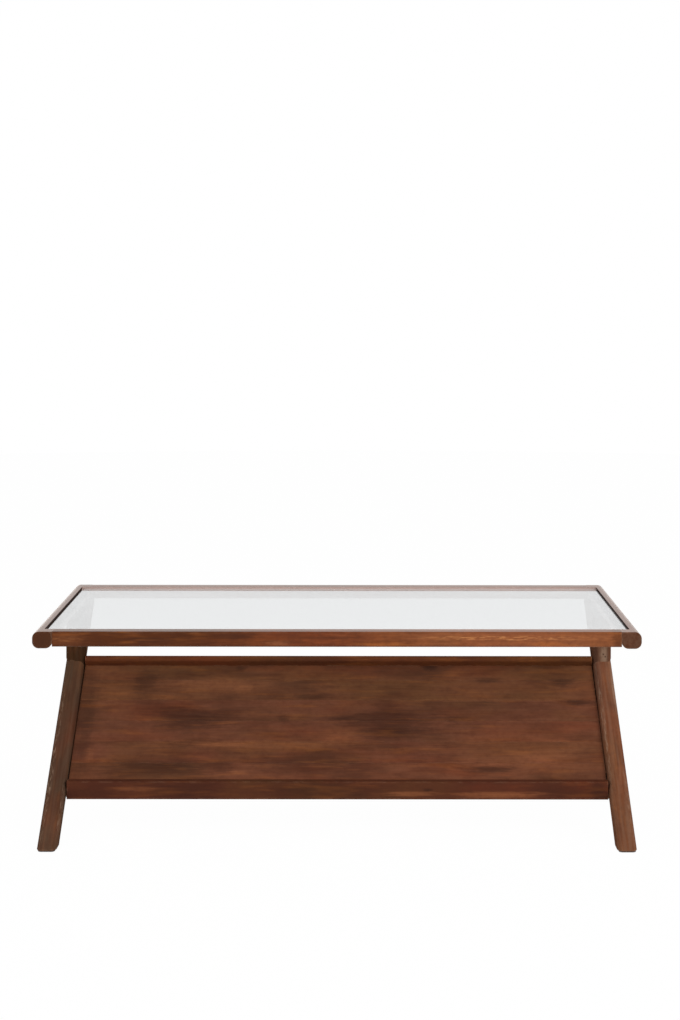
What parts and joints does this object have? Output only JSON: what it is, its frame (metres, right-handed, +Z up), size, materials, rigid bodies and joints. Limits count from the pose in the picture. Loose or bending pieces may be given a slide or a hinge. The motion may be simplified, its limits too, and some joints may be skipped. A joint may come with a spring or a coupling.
{
  "type": "glass-topped display coffee table",
  "caption": "Low coffee table: loose glass pane in a dark wood frame, diagonal front legs halved over upright rear legs, and a slanted plank tray under the glass for display.",
  "frame": {"origin": "on the floor, under the middle of the table top's outline", "axes": "+X along the table, +Y from the open front towards the back, +Z up"},
  "size_m": [1.2, 0.6, 0.44],
  "materials": {
    "stained_wood": "dark stain, satin lacquer",
    "dowel_wood": "bare beech",
    "clear_glass": "polished",
    "clear_bumper": "clear soft plastic",
    "felt": "pressed felt",
    "steel": "zinc plated"
  },
  "bodies": {
    "table": {"back_rail": "stained_wood", "barrel_nuts": "steel", "batten_screws": "steel", "end_rail_left": "stained_wood", "end_rail_right": "stained_wood", "felt_pad_front_left": "felt", "felt_pad_front_right": "felt", "felt_pad_rear_left": "felt", "felt_pad_rear_right": "felt", "front_leg_left": "stained_wood", "front_leg_right": "stained_wood", "front_rail": "stained_wood", "glass_bumpers": "clear_bumper", "lap_pegs": "stained_wood", "leg_dowels": "dowel_wood", "rail_dowels": "dowel_wood", "rear_leg_left": "stained_wood", "rear_leg_right": "stained_wood", "tray_back_lip": "stained_wood", "tray_batten_left": "stained_wood", "tray_batten_right": "stained_wood", "tray_bolts": "steel", "tray_dowels": "dowel_wood", "tray_front_rail": "stained_wood", "tray_plank_1": "stained_wood", "tray_plank_2": "stained_wood", "tray_plank_3": "stained_wood", "tray_plank_4": "stained_wood", "tray_plank_5": "stained_wood", "tray_plank_6": "stained_wood", "tray_spacers": "steel"},
    "glass": {"glass_pane": "clear_glass"}
  },
  "joints": [
    {"name": "glass_lift", "type": "slide", "parent": "table", "child": "glass", "axis": [0, 0, 1], "range_m": [0, 0.06]}
  ]
}
